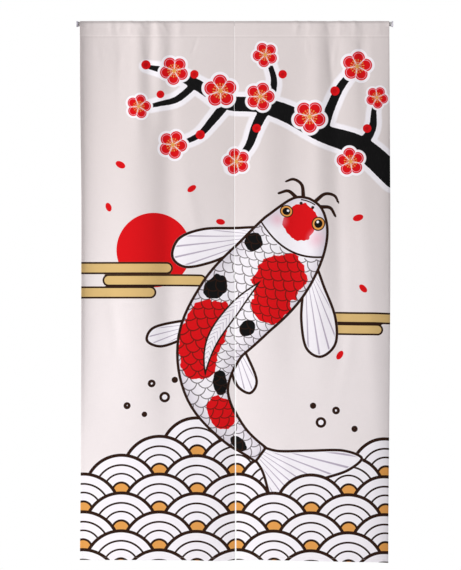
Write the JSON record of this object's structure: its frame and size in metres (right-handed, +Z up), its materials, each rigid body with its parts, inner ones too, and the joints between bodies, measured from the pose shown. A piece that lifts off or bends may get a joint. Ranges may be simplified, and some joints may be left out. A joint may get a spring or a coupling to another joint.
{
  "type": "noren curtain on a tension rod",
  "caption": "Doorway curtain in side-by-side cloth panels with a slit between them, hung by stitched casings on a plain tension rod with flared rubber end caps.",
  "frame": {"origin": "middle of the rod's axis, halfway between the two wall faces of its end caps", "axes": "+X along the rod to the viewer's right, -Y out of the printed front of the cloth, +Z up"},
  "size_m": [0.876, 0.0216, 1.5006],
  "materials": {
    "panel_left_cloth": "matte printed polyester plain weave, slightly sheer",
    "panel_right_cloth": "matte printed polyester plain weave, slightly sheer",
    "rod_coating": "smooth semi-gloss coating",
    "cap_left_rubber": "soft satin, slightly milky",
    "cap_right_rubber": "soft satin, slightly milky"
  },
  "bodies": {
    "root": {"panel_left": "panel_left_cloth", "panel_right": "panel_right_cloth", "rod": "rod_coating", "cap_left": "cap_left_rubber", "cap_right": "cap_right_rubber"}
  },
  "joints": []
}
